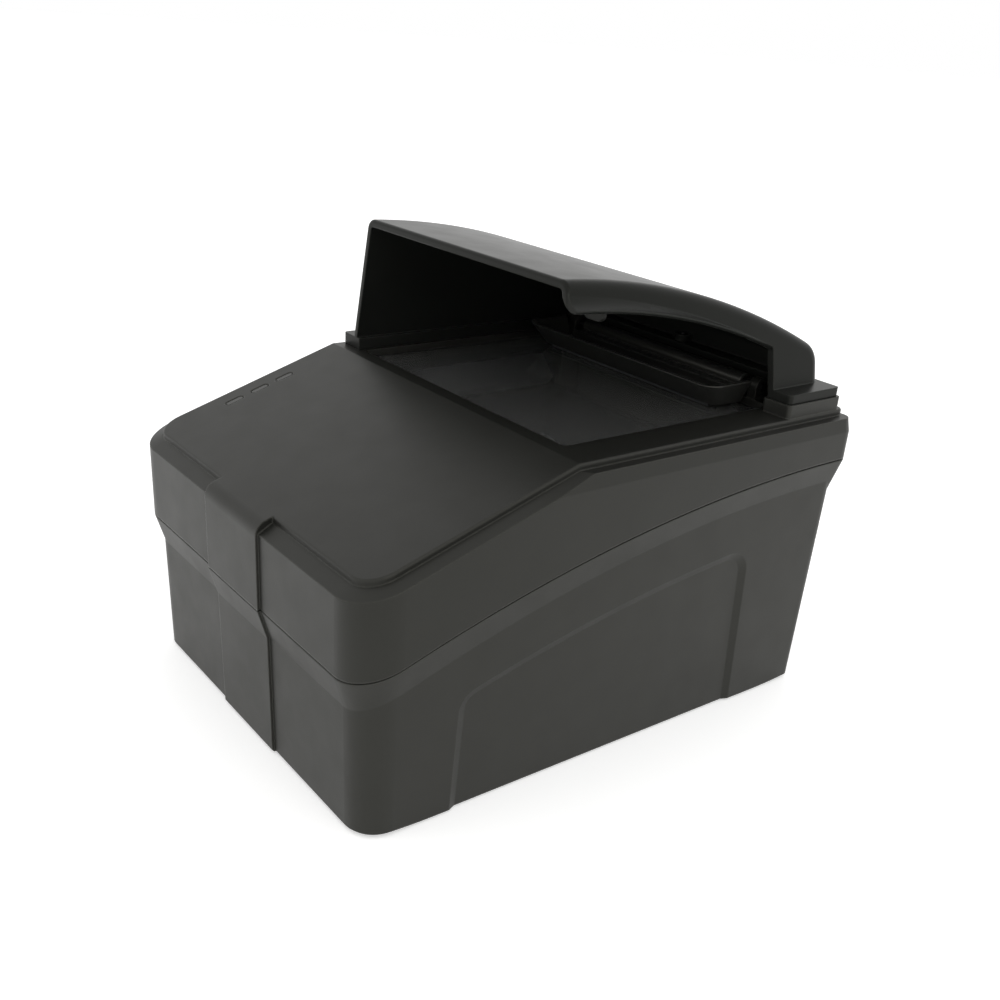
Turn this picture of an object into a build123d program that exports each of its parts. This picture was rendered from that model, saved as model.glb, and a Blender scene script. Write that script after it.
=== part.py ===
from build123d import *
import math
import os

# Full-page passport reader: a desktop case with a sloping front, a glass platen behind the
# crease and a light hood over the platen. Millimetres. X runs to the right of the person who
# stands in front, Y to the back, Z up. The origin is on the table, below the middle of the case.

os.makedirs("parts", exist_ok=True)

# Cut length that every through-cut runs past the faces it cuts
overrun = 5.0

# Closeness that counts as touching, and the least corner radius of an inset outline
touch = 0.01
least_radius = 1.0

# Top cover, outside: a front slope up to a crease, then a level deck
cover_width = 168.0
cover_depth = 215.6
cover_front_radius = 15.2
cover_rear_radius = 5.3
front_rim_height = 86.4
rim_rise_height = 26.5
crease_share = 0.381
cover_wall = 2.7
rim_bevel_width = 5.0
rim_bevel_height = 1.2
panel_inset = 5.3
panel_rear_inset = 1.0
panel_rear_radius = 4.0
panel_height = 3.5
panel_edge_radius = 0.8

# Parting line between cover and lower housing: one long arc in side view
skirt_front_height = 27.3
skirt_rear_height = 14.5
parting_bulge_height = 10.4
parting_gap = 0.5
lip_height = 2.2
lip_wall = 1.2
lip_clearance = 0.2

# Lower housing: a drafted tub whose outline is tucked in under the cover, with a flare on top
housing_bottom_height = 1.0
housing_tuck = 4.0
housing_rear_radius = 4.2
housing_draft = 1.0
housing_wall = 3.0
flare_width = 3.6
flare_height = 12.6
flare_land_height = 0.3
housing_core_depth = 6.0
foot_edge_bevel = 0.8
ledge_width = 5.0
ledge_height = 2.0
ledge_radius = 1.6

# Band down the middle of the front
band_width = 39.0
band_proud_depth = 1.0
band_top_radius = 5.5
band_lap_depth = 12.0

# Shallow arched panel in each side wall of the lower housing, its top parallel to the parting
arch_front_inset = 37.4
arch_rear_inset = 41.5
arch_drop_height = 27.3
arch_front_lean = 1.6
arch_rear_lean = 5.0
arch_front_radius = 8.5
arch_rear_radius = 10.0
arch_border_width = 3.0
arch_panel_depth = 1.3

# Document opening in the deck and the glass under it
opening_side_inset = 20.7
opening_front_inset = 6.0
opening_rear_inset = 26.8
opening_radius = 2.0
glass_margin = 3.0
glass_thickness = 2.5
glass_radius = 3.0
gasket_thickness = 0.5
gasket_inner_clearance = 0.5
antenna_thickness = 1.2
antenna_side_border = 10.7
antenna_front_border = 4.5
antenna_rear_border = 4.1
antenna_window_clearance = 1.0
retainer_thickness = 2.0
retainer_boss_radius = 3.2
retainer_screw_side_inset = 3.5
retainer_screw_end_inset = 5.0

# Plinth behind and to the right of the opening, and the hood that stands on it and on the deck
plinth_side_inset = 5.9
plinth_rear_inset = 4.6
plinth_front_lap = 7.1
plinth_rear_gap = 9.5
plinth_inner_gap = 1.7
plinth_height = 5.0
plinth_corner_radius = 1.6
flange_inset = 0.8
flange_height = 3.5
left_foot_height = 4.6
left_foot_clearance = 0.2
hood_front_setback = 4.5
hood_rear_setback = 1.2
hood_foot_inset = 9.2
hood_wall_lean = 12.3
hood_rise_height = 44.1
hood_crest_setback = 9.7
hood_top_radius = 285.0
hood_rear_radius = 9.0
hood_shoulder_radius = 4.5
hood_front_radius = 1.2
hood_wall = 2.8
window_corner_radius = 2.0
hood_boss_radius = 3.6
hood_boss_height = 6.0

# Rolled lip along the top of the side window: insets from the hood's foot, depths below its crown
lip_tip_inset = 3.7
lip_tip_depth = 8.1
lip_root_inset = 9.0
lip_root_depth = 3.6
lip_bend_inset = 7.0
lip_bend_depth = 6.5
lip_inner_tip_inset = 4.5
lip_inner_tip_depth = 9.2
lip_inner_bend_inset = 8.6
lip_inner_bend_depth = 8.3
lip_inner_root_inset = 11.1
lip_inner_root_depth = 5.4
lip_core_inset = 10.5
lip_core_depth = 3.2
lip_trim_inset = 19.0
lip_trim_depth = 10.5
lip_end_setback = 0.4
lip_rear_reach = 3.0

# Small tab that hangs from the hood's ceiling behind its front edge
tab_side_inset = 14.4
tab_width = 9.0
tab_setback = 20.4
tab_thickness = 2.0
tab_height = 13.0

# Hold-down flap with up-turned lips, and its hinge
flap_thickness = 1.8
flap_clearance = 0.3
pad_thickness = 1.5
pad_side_inset = 4.5
pad_front_inset = 1.8
pad_length = 5.0
tray_side_inset = 12.0
tray_front_lap = 17.2
tray_rear_lap = 2.5
tray_corner_radius = 4.0
tray_height = 9.0
tray_side_flare = 4.0
tray_front_flare = 7.8
tray_flare_radius_gain = 2.5
hinge_gap = 4.0
hinge_height = 4.5
pin_radius = 1.5
pin_running_clearance = 0.05
barrel_radius = 3.0
barrel_side_inset = 5.0
web_side_inset = 3.5
ear_gap = 3.5
ear_thickness = 4.0
ear_radius = 3.4
pin_end_clearance = 0.03
pin_end_length = 0.8

# Status windows in the left border of the front slope
status_count = 3
status_side_inset = 9.1
status_front_inset = 34.0
status_pitch = 10.7
status_length = 7.2
status_width = 2.6
status_clearance = 0.1
status_recess_depth = 0.15
status_bevel_width = 0.5
status_pipe_length = 5.8
status_flange_length = 9.4
status_flange_width = 4.8
status_flange_thickness = 1.2
status_board_depth = 6.8
status_board_length = 42.0
status_board_width = 9.6
status_board_thickness = 1.2
status_led_length = 1.6
status_led_width = 1.2
status_led_height = 0.6
status_post_offset = 18.3
status_post_radius = 2.2

# Base plate, feet and screws
plate_bottom_height = 1.5
plate_thickness = 1.5
plate_clearance = 0.3
foot_radius = 7.0
foot_side_inset = 27.0
foot_end_inset = 27.8
foot_edge_width = 0.6
vent_count = 8
vent_length = 26.0
vent_width = 2.4
vent_pitch = 6.0
vent_front_inset = 65.0
pillar_side_inset = 10.6
pillar_front_inset = 17.6
pillar_rear_inset = 7.0
pillar_radius = 4.5
pillar_bore_radius = 3.3
pillar_drop_height = 6.6
pillar_cap_height = 3.0
pillar_web = 2.0
post_radius = 4.2
access_hole_radius = 4.0
case_screw_radius = 1.5
case_screw_head_radius = 2.8
case_screw_head_height = 2.2
case_screw_engagement = 9.0
small_screw_radius = 1.2
small_screw_head_radius = 2.2
small_screw_head_height = 1.5
screw_clearance = 0.05
hole_clearance = 0.3
plate_boss_radius = 3.4
plate_boss_height = 9.0
plate_side_screw_inset = 9.6
plate_side_screw_front_inset = 46.0
plate_rear_screw_inset = 8.5
plate_rear_screw_side_inset = 21.6
plate_screw_head_height = 0.9
plate_screw_bite = 5.5
hood_screw_front_setback = 14.8
hood_screw_rear_setback = 23.5
hood_side_screw_count = 3
hood_rear_screw_count = 3
hood_screw_side_inset = 11.3
hood_screw_side_bite = 3.0
hood_screw_rear_bite = 6.5

# Optical frame: two side plates with feet and slanted wings, and the fold mirror they carry
frame_side_inset = 1.3
frame_wall = 2.0
frame_foot_width = 7.8
frame_front_inset = 11.0
frame_rear_inset = 0.5
frame_wing_drop = 19.4
frame_wing_width = 10.5
frame_wing_lean = 45.0
frame_rear_wall_height = 29.0
frame_tie_depth = 9.0
frame_screw_side_gap = 4.5
frame_screw_end_inset = 8.0
camera_height = 44.0
mirror_setback = 2.0
mirror_length = 80.0
mirror_thickness = 3.0
mirror_side_clearance = 0.3
mirror_tilt = 45.0
mirror_rail_width = 3.0
mirror_rail_depth = 4.0
mirror_clip_length = 9.0
mirror_clip_width = 6.0
mirror_clip_thickness = 1.2
mirror_clip_offset = 28.0
mirror_clip_leg_height = 6.0

# Light boards on the wings
light_board_width = 12.6
light_board_thickness = 1.2
light_board_end_inset = 3.0
diffuser_height = 5.0
diffuser_wall = 1.2
light_led_count = 7
light_led_size = 3.0
light_led_height = 0.9

# Camera on its sheet-metal bracket
bracket_front_inset = 33.0
bracket_sheet_thickness = 1.5
bracket_half_width = 24.0
bracket_height = 66.0
bracket_foot_length = 17.0
bracket_bend_radius = 2.0
bracket_screw_offset = 15.0
bracket_screw_setback = 11.0
camera_standoff_height = 4.0
camera_standoff_radius = 2.2
camera_hole_inset = 4.0
camera_board_size = 36.0
camera_board_thickness = 1.6
lens_holder_size = 20.0
lens_holder_base_length = 7.0
lens_holder_neck_length = 4.0
lens_holder_neck_radius = 9.0
lens_radius = 7.0
lens_running_clearance = 0.1
lens_setback = 5.0
lens_length = 15.0
lens_rim_radius = 8.4
lens_rim_length = 4.0
lens_front_bore_radius = 5.2
lens_front_bore_depth = 2.6
lens_rear_bore_radius = 3.0
element_thickness = 1.6
element_crown_height = 0.8
lens_holder_bevel = 1.5
sensor_size = 8.0
sensor_height = 1.2

# Main board and what it carries
board_side_clearance = 10.0
board_length = 66.0
board_rear_inset = 14.3
board_thickness = 1.6
board_standoff_height = 6.0
board_standoff_radius = 3.0
board_hole_inset = 5.0
board_corner_bevel = 2.0
board_screw_bite = 4.0
spigot_radius = 1.8
chip_size = 15.0
chip_height = 1.6
chip_x = 6.0
chip_front_inset = 28.0
memory_length = 12.0
memory_width = 8.0
memory_height = 1.1
memory_gap = 24.0
memory_pitch = 12.0
sink_size = 22.0
sink_base_height = 1.6
sink_height = 9.0
sink_fin_count = 6
sink_fin_thickness = 1.2
usb_side_inset = 18.0
usb_width = 12.0
usb_height = 10.8
usb_length = 17.0
usb_mouth_width = 8.6
usb_mouth_height = 7.8
usb_mouth_depth = 9.0
usb_tongue_width = 5.6
usb_tongue_height = 3.2
usb_mouth_bevel = 1.6
usb_setback = 0.4
usb_cutout_clearance = 0.4
port_panel_width = 44.0
port_panel_height = 22.0
port_panel_depth = 1.0
port_panel_border = 1.5
port_panel_radius = 3.0
buzzer_radius = 6.0
buzzer_height = 5.5
buzzer_side_inset = 14.0
buzzer_rear_inset = 24.0
buzzer_vent_radius = 1.2
buzzer_vent_depth = 1.0
capacitor_radius = 4.0
capacitor_height = 10.0
capacitor_side_inset = 14.0
capacitor_front_inset = 16.0
capacitor_pitch = 11.0
capacitor_count = 2
header_length = 18.0
header_width = 5.0
header_height = 4.5
header_front_inset = 6.0

# Flat cable from the camera board to the main board
cable_width = 14.0
cable_thickness = 0.4
cable_bend_radius = 4.0
cable_header_depth = 3.0
cable_header_height = 4.0

# Case: heights and plan lines that follow from the sizes above
half_width = cover_width / 2
half_depth = cover_depth / 2
crease_y = cover_depth * crease_share - half_depth
rear_rim_z = front_rim_height + rim_rise_height
slope_rise = rim_rise_height / (crease_y + half_depth)
slope_angle = math.atan(slope_rise)
parting_front_z = front_rim_height - skirt_front_height
parting_rear_z = rear_rim_z - skirt_rear_height
parting_middle_z = (parting_front_z + parting_rear_z) / 2 + parting_bulge_height
deck_z = rear_rim_z + panel_height
deck_under_z = deck_z - cover_wall
panel_half_width = half_width - panel_inset
panel_front_radius = cover_front_radius - panel_inset
housing_half_width = half_width - housing_tuck
housing_half_depth = half_depth - housing_tuck
housing_front_radius = cover_front_radius - housing_tuck
draft = math.radians(housing_draft)
arch_front_y = arch_front_inset - half_depth
arch_rear_y = half_depth - arch_rear_inset
pillar_x = housing_half_width - pillar_side_inset
pillar_ys = (pillar_front_inset - housing_half_depth, housing_half_depth - pillar_rear_inset)

# Opening, glass and what holds it
opening_half_width = half_width - opening_side_inset
opening_front_y = crease_y + opening_front_inset
opening_rear_y = half_depth - opening_rear_inset
glass_top_z = deck_under_z - gasket_thickness
glass_under_z = glass_top_z - glass_thickness
antenna_under_z = glass_under_z - antenna_thickness
retainer_under_z = antenna_under_z - retainer_thickness
antenna_half_width = opening_half_width + antenna_side_border
antenna_front_y = opening_front_y - antenna_front_border
antenna_rear_y = opening_rear_y + antenna_rear_border

# Plinth and hood
plinth_half_width = half_width - plinth_side_inset
plinth_inner_x = opening_half_width + plinth_inner_gap
plinth_right_front_y = opening_rear_y - plinth_front_lap
plinth_rear_inner_y = opening_rear_y + plinth_rear_gap
plinth_rear_y = half_depth - plinth_rear_inset
plinth_top_z = deck_z + plinth_height
flange_top_z = plinth_top_z + flange_height
tall = flange_top_z
left_foot_z = deck_z + left_foot_height
hood_front_y = crease_y + hood_front_setback
hood_rear_y = plinth_rear_y - flange_inset - hood_rear_setback
hood_foot_half_width = plinth_half_width - hood_foot_inset
hood_lean = math.radians(hood_wall_lean)
hood_crown_z = flange_top_z + hood_rise_height
hood_axis_z = hood_crown_z - hood_top_radius
hood_crest_y = hood_front_y - hood_crest_setback
window_rear_y = plinth_right_front_y + flange_inset

# Flap and hinge
flap_under_z = glass_top_z + flap_clearance + pad_thickness
tray_half_width = opening_half_width - tray_side_inset
tray_front_y = opening_rear_y - tray_front_lap
tray_rear_y = opening_rear_y - tray_rear_lap
hinge_y = opening_rear_y + hinge_gap
hinge_z = deck_z + hinge_height
barrel_half_width = tray_half_width - barrel_side_inset
web_half_width = tray_half_width - web_side_inset
ear_inner_x = web_half_width + ear_gap
pin_reach = ear_inner_x + ear_thickness + pin_end_length
ear_bore_radius = pin_radius + pin_end_clearance
status_x = status_side_inset - panel_half_width

# Inside: plate, frame, camera and main board
plate_top_z = plate_bottom_height + plate_thickness
frame_inner_x = opening_half_width - frame_side_inset
frame_front_y = opening_front_y + frame_front_inset
frame_rear_y = opening_rear_y - frame_rear_inset
frame_length = frame_rear_y - frame_front_y
frame_wing_z = retainer_under_z - frame_wing_drop
wing_angle = math.radians(frame_wing_lean)
mirror_centre_y = (frame_front_y + frame_rear_y) / 2 - mirror_setback
light_board_length = frame_length - 2 * light_board_end_inset
bracket_y = bracket_front_inset - half_depth
bracket_inner_y = bracket_y + bracket_sheet_thickness
camera_board_y = bracket_inner_y + camera_standoff_height
camera_face_y = camera_board_y + camera_board_thickness
board_half_width = frame_inner_x - board_side_clearance
board_rear_y = housing_half_depth - board_rear_inset
board_front_y = board_rear_y - board_length
board_under_z = plate_top_z + board_standoff_height
board_top_z = board_under_z + board_thickness
chip_y = board_front_y + chip_front_inset
usb_x = usb_side_inset - board_half_width
usb_middle_z = board_top_z + usb_height / 2
tapped_radius = small_screw_radius + screw_clearance
clearance_radius = small_screw_radius + hole_clearance
sides = (-1, 1)

# Centres of the fasteners
def grid(half, rows):
    return [(side * half, y) for side in sides for y in rows]


def spread(first, last, count):
    return [first + number * (last - first) / (count - 1) for number in range(count)]


pillar_spots = grid(pillar_x, pillar_ys)
antenna_ys = (antenna_front_y + retainer_screw_end_inset, antenna_rear_y - retainer_screw_end_inset)
retainer_screw_spots = grid(antenna_half_width - retainer_screw_side_inset, antenna_ys)
frame_ys = (frame_front_y + frame_screw_end_inset, frame_rear_y - frame_screw_end_inset)
frame_screw_spots = grid(frame_inner_x + frame_screw_side_gap, frame_ys)
bracket_screw_spots = grid(bracket_screw_offset, [bracket_y + bracket_screw_setback])
board_ys = (board_front_y + board_hole_inset, board_rear_y - board_hole_inset)
board_hole_spots = grid(board_half_width - board_hole_inset, board_ys)
camera_hole_reach = camera_board_size / 2 - camera_hole_inset
camera_hole_zs = (camera_height - camera_hole_reach, camera_height + camera_hole_reach)
camera_hole_spots = grid(camera_hole_reach, camera_hole_zs)
plate_screw_spots = grid(
    housing_half_width - plate_side_screw_inset, [plate_side_screw_front_inset - housing_half_depth]
)
plate_screw_spots += grid(
    housing_half_width - plate_rear_screw_side_inset, [housing_half_depth - plate_rear_screw_inset]
)
hood_side_x = -(plinth_half_width - flange_inset + plinth_inner_x) / 2
hood_side_first = hood_front_y + hood_screw_front_setback
hood_side_last = plinth_rear_inner_y - hood_screw_rear_setback
hood_side_ys = spread(hood_side_first, hood_side_last, hood_side_screw_count)
hood_side_screws = [(hood_side_x, y) for y in hood_side_ys]
hood_rear_reach = opening_half_width - hood_screw_side_inset
hood_rear_xs = spread(-hood_rear_reach, hood_rear_reach, hood_rear_screw_count)
hood_rear_screws = [(x, (plinth_rear_inner_y + plinth_rear_y) / 2) for x in hood_rear_xs]
status_ys = [status_front_inset - half_depth + number * status_pitch for number in range(status_count)]
status_middle_y = sum(status_ys) / status_count


# Small building blocks
def block(x0, x1, y0, y1, z0, z1):
    middle = Pos((x0 + x1) / 2, (y0 + y1) / 2, (z0 + z1) / 2)
    return middle * Box(abs(x1 - x0), abs(y1 - y0), abs(z1 - z0))


def upright(x, y, z0, z1, radius):
    return Pos(x, y, (z0 + z1) / 2) * Cylinder(radius, abs(z1 - z0))


def crosswise(x0, x1, y, z, radius):
    return Pos((x0 + x1) / 2, y, z) * Rot(0, 90, 0) * Cylinder(radius, abs(x1 - x0))


def endwise(x, y0, y1, z, radius):
    return Pos(x, (y0 + y1) / 2, z) * Rot(90, 0, 0) * Cylinder(radius, abs(y1 - y0))


def group(shapes):
    return Compound([solid for shape in shapes for solid in shape.solids()])


def both_sides(right):
    return group([right, mirror(right, about=Plane.YZ)])


def rounded_plan(width, front, rear, front_radius, rear_radius):
    sheet = Pos(0, (front + rear) / 2) * Rectangle(width, rear - front)
    sheet = fillet(sheet.vertices().group_by(Axis.Y)[0], front_radius)
    return fillet(sheet.vertices().group_by(Axis.Y)[-1], rear_radius)


def side_prism(edges, half):
    return extrude(Plane.YZ * make_face(edges), half, both=True)


def screw_up(x, y, seat_z, length, radius, head_radius, head_height):
    shank = upright(x, y, seat_z, seat_z + length, radius)
    return shank + upright(x, y, seat_z - head_height, seat_z, head_radius)


def screw_down(x, y, seat_z, length):
    shank = upright(x, y, seat_z - length, seat_z, small_screw_radius)
    return shank + upright(x, y, seat_z, seat_z + small_screw_head_height, small_screw_head_radius)


# Circle through three points of the side view, as centre and radius
def circle_through(first, second, third):
    (ay, az), (by, bz), (cy, cz) = first, second, third
    twice = 2 * (ay * (bz - cz) + by * (cz - az) + cy * (az - bz))
    a2 = ay * ay + az * az
    b2 = by * by + bz * bz
    c2 = cy * cy + cz * cz
    centre_y = (a2 * (bz - cz) + b2 * (cz - az) + c2 * (az - bz)) / twice
    centre_z = (a2 * (cy - by) + b2 * (ay - cy) + c2 * (by - ay)) / twice
    return centre_y, centre_z, math.hypot(ay - centre_y, az - centre_z)


def parting_z(y):
    front = (-half_depth, parting_front_z)
    middle = (0, parting_middle_z)
    rear = (half_depth, parting_rear_z)
    centre_y, centre_z, radius = circle_through(front, middle, rear)
    return centre_z + math.sqrt(radius**2 - (y - centre_y) ** 2)


# Everything below the parting arc lowered by drop
def below_parting(drop):
    front = -half_depth - overrun
    rear = half_depth + overrun
    start = (front, parting_z(front) - drop)
    end = (rear, parting_z(rear) - drop)
    arc = ThreePointArc(start, (0, parting_z(0) - drop), end)
    rest = Polyline(end, (rear, -overrun), (front, -overrun), start)
    return side_prism([arc, rest], half_width + overrun)


def rim_z(y):
    return front_rim_height + slope_rise * (y + half_depth)


# Everything below the cover's roof line raised by lift: a slope up to the crease, then level
def below_roof(lift):
    front = -half_depth - overrun
    rear = half_depth + overrun
    start = (front, rim_z(front) + lift)
    crease = (crease_y, rear_rim_z + lift)
    corners = [start, crease, (rear, rear_rim_z + lift), (rear, -overrun), (front, -overrun), start]
    return side_prism(Polyline(*corners), half_width + overrun)


def top_rim(solid):
    tops = [face for face in solid.faces() if face.normal_at().Z > 0.5]
    edges = [edge for face in tops for edge in face.outer_wire().edges()]
    return [edge for edge in edges if abs(edge.center().Y - crease_y) > touch]


def cover_plan(inset):
    rear_radius = max(cover_rear_radius - inset, least_radius)
    front_radius = cover_front_radius - inset
    front = inset - half_depth
    return rounded_plan(cover_width - 2 * inset, front, -front, front_radius, rear_radius)


def panel_plan(inset):
    front = panel_inset + inset - half_depth
    rear = half_depth - panel_rear_inset - inset
    rear_radius = max(panel_rear_radius - inset, least_radius)
    return rounded_plan(2 * (panel_half_width - inset), front, rear, panel_front_radius - inset, rear_radius)


# Plinth on the deck: a bar behind the opening, with a leg along the rear of its right side
def plinth_plan(inset):
    outer = plinth_half_width - inset
    inner = plinth_inner_x + inset
    front = plinth_right_front_y + inset
    rear_inner = plinth_rear_inner_y + inset
    rear = plinth_rear_y - inset
    corners = [(-outer, rear_inner), (inner, rear_inner), (inner, front), (outer, front)]
    corners += [(outer, rear), (-outer, rear), (-outer, rear_inner)]
    plan = make_face(Polyline(*corners))
    free = [v for v in plan.vertices() if abs(v.Y - rear_inner) > touch]
    return fillet(free, plinth_corner_radius)


def opening_plan(margin):
    front = opening_front_y - margin
    rear = opening_rear_y + margin
    return rounded_plan(2 * (opening_half_width + margin), front, rear, opening_radius, opening_radius)


def raised(sheet, z0, z1):
    return extrude(Pos(0, 0, z0) * sheet, z1 - z0)


# Frame on the front slope at a depth below its surface: local x runs up the slope, local z out of it
def slope_frame(y, depth):
    out = (0, -math.sin(slope_angle), math.cos(slope_angle))
    origin = (status_x, y - out[1] * depth, rim_z(y) + panel_height - out[2] * depth)
    return Plane(origin, x_dir=(0, math.cos(slope_angle), math.sin(slope_angle)), z_dir=out)


def slope_slot(y, length, width, top, bottom):
    sheet = slope_frame(y, bottom) * SlotOverall(length, width)
    return extrude(sheet, bottom - top)


def slope_rod(reach, radius, top, bottom):
    place = slope_frame(status_middle_y, (top + bottom) / 2).location
    return place * Pos(reach, 0, 0) * Cylinder(radius, bottom - top)


# Sloped rim of a status window's slot
def status_bevel(y):
    width = status_bevel_width
    rim = slope_frame(y, -width) * SlotOverall(status_length + 4 * width, status_width + 4 * width)
    floor = slope_frame(y, width) * SlotOverall(status_length, status_width)
    return loft([floor, rim], ruled=True)


# Cover: sloping skirt with a bevelled rim, raised panel, deck with the document opening, plinth
def top_cover():
    skirt = extrude(cover_plan(0), tall) & below_roof(rim_bevel_height)
    skirt = chamfer(top_rim(skirt), rim_bevel_height, rim_bevel_width)
    panel = extrude(panel_plan(0), tall) & below_roof(panel_height)
    panel = fillet(top_rim(panel), panel_edge_radius)
    body = skirt + panel + raised(plinth_plan(0), deck_under_z, plinth_top_z)
    body = body + cover_band() - below_parting(0)
    hollow = extrude(cover_plan(cover_wall), tall) & below_roof(rim_bevel_height - cover_wall)
    hollow = hollow + (extrude(panel_plan(cover_wall), tall) & below_roof(panel_height - cover_wall))
    body = body - hollow
    body = body - raised(plinth_plan(cover_wall), deck_under_z - cover_wall, plinth_top_z - cover_wall)
    body = body - raised(opening_plan(0), deck_under_z - overrun, deck_z + overrun)
    for x, y in retainer_screw_spots:
        in_plinth = x > 0 and y > plinth_right_front_y
        top = (plinth_top_z if in_plinth else deck_z) - cover_wall / 2
        body = body + upright(x, y, glass_under_z, top, retainer_boss_radius)
        body = body - upright(x, y, glass_under_z - overrun, deck_under_z + hole_clearance, tapped_radius)
    for x, y in pillar_spots:
        junction = parting_z(y) - pillar_drop_height
        top = plinth_top_z if y > 0 else rim_z(y) + panel_height
        body = body + upright(x, y, junction, top - cover_wall / 2, post_radius)
        depth = case_screw_engagement + hole_clearance
        body = body - upright(x, y, junction - overrun, junction + depth, case_screw_radius + screw_clearance)
    for x, y in hood_side_screws:
        body = body - upright(x, y, deck_under_z - overrun, deck_z + overrun, clearance_radius)
    for x, y in hood_rear_screws:
        seat = plinth_top_z - cover_wall
        body = body - upright(x, y, seat, plinth_top_z + overrun, clearance_radius)
        body = body - upright(x, y, deck_under_z - cover_wall, seat, small_screw_head_radius + hole_clearance)
    for y in status_ys:
        body = body - slope_slot(y, status_length, status_width, -overrun, cover_wall + overrun)
        body = body - status_bevel(y)
    for side in sides:
        reach = side * status_post_offset
        body = body + slope_rod(reach, status_post_radius, cover_wall / 2, status_board_depth)
        body = body - slope_rod(reach, tapped_radius, cover_wall, status_board_depth + overrun)
    for side in sides:
        body = body + hinge_ear(side)
    return body


# Band that folds over the front edge from the front wall onto the raised panel
def cover_band():
    front = -half_depth - band_proud_depth
    rear = -half_depth + band_lap_depth
    corners = [(front, rim_z(front) + panel_height), (rear, rim_z(rear) + panel_height)]
    corners += [(rear, -overrun), (front, -overrun), (front, rim_z(front) + panel_height)]
    sheet = make_face(Polyline(*corners))
    edge = sheet.vertices().sort_by(Axis.Y)[-2:].sort_by(Axis.X)[0]
    return extrude(Plane.YZ * fillet(edge, band_top_radius), band_width / 2, both=True)


# Upright ear on the deck that carries one end of the hinge pin
def hinge_ear(side):
    low = deck_z - cover_wall / 2
    inner = side * ear_inner_x
    outer = side * (ear_inner_x + ear_thickness)
    ear = block(inner, outer, hinge_y - ear_radius, hinge_y + ear_radius, low, hinge_z)
    ear = ear + crosswise(inner, outer, hinge_y, hinge_z, ear_radius)
    return ear - crosswise(inner - side * overrun, outer + side * overrun, hinge_y, hinge_z, ear_bore_radius)


# Lower housing: drafted tub whose wall flares out to the parting arc
def housing_plan(inset):
    half = housing_half_width - inset
    front = inset - housing_half_depth
    front_radius = max(housing_front_radius - inset, least_radius)
    rear_radius = max(housing_rear_radius - inset, least_radius)
    return rounded_plan(2 * half, front, -front, front_radius, rear_radius)


def drafted(inset):
    return extrude(Pos(0, 0, housing_bottom_height) * housing_plan(inset), tall, taper=-housing_draft)


def housing_skin():
    flare = extrude(cover_plan(0), tall) - below_parting(parting_gap + flare_land_height + flare_height)
    under = [face for face in flare.faces() if face.normal_at().Z < -0.5][0]
    flare = chamfer(under.outer_wire().edges(), flare_width, flare_height, reference=under)
    tub = drafted(0)
    tub = chamfer(tub.edges().group_by(Axis.Z)[0], foot_edge_bevel)
    return (tub + flare) & below_parting(parting_gap)


# Plane that lies on a drafted wall, sunk below its surface: turn 0 faces +X, 90 faces +Y, 180 faces -X
def wall_frame(turn, depth):
    reach = housing_half_depth if turn == 90 else housing_half_width
    out = Vector(math.cos(math.radians(turn)), math.sin(math.radians(turn)), 0)
    along = Vector(-out.Y, out.X, 0)
    normal = out * math.cos(draft) - Vector(0, 0, math.sin(draft))
    origin = out * (reach - depth * math.cos(draft))
    origin = origin + Vector(0, 0, housing_bottom_height + depth * math.sin(draft))
    return Plane(origin, x_dir=along, z_dir=normal)


# Shallow pan with sloped borders, sunk into a drafted wall
def sunk_pan(rim, floor, turn, depth):
    return loft([wall_frame(turn, -depth) * rim, wall_frame(turn, depth) * floor], ruled=True)


def arch_top(y, inset):
    return parting_z(y) - arch_drop_height - housing_bottom_height - inset


def arch_sheet(facing, inset):
    low_front = arch_front_y + inset
    low_rear = arch_rear_y - inset
    front = low_front + arch_front_lean
    rear = low_rear - arch_rear_lean
    start = (facing * front, arch_top(front, inset))
    end = (facing * rear, arch_top(rear, inset))
    arc = ThreePointArc(start, (0, arch_top(0, inset)), end)
    rest = Polyline(end, (facing * low_rear, -overrun), (facing * low_front, -overrun), start)
    sheet = make_face([arc, rest])
    front_corner = [v for v in sheet.vertices() if abs(v.X - start[0]) < touch]
    sheet = fillet(front_corner, arch_front_radius - inset)
    rear_corner = [v for v in sheet.vertices() if abs(v.X - end[0]) < touch]
    return fillet(rear_corner, arch_rear_radius - inset)


def arch_pan(facing, turn):
    rim = arch_sheet(facing, -arch_border_width)
    return sunk_pan(rim, arch_sheet(facing, arch_border_width), turn, arch_panel_depth)


def port_sheet(inset):
    width = port_panel_width - 2 * inset
    height = port_panel_height - 2 * inset
    sheet = RectangleRounded(width, height, port_panel_radius - inset)
    return Pos(-usb_x, usb_middle_z - housing_bottom_height) * sheet


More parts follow.
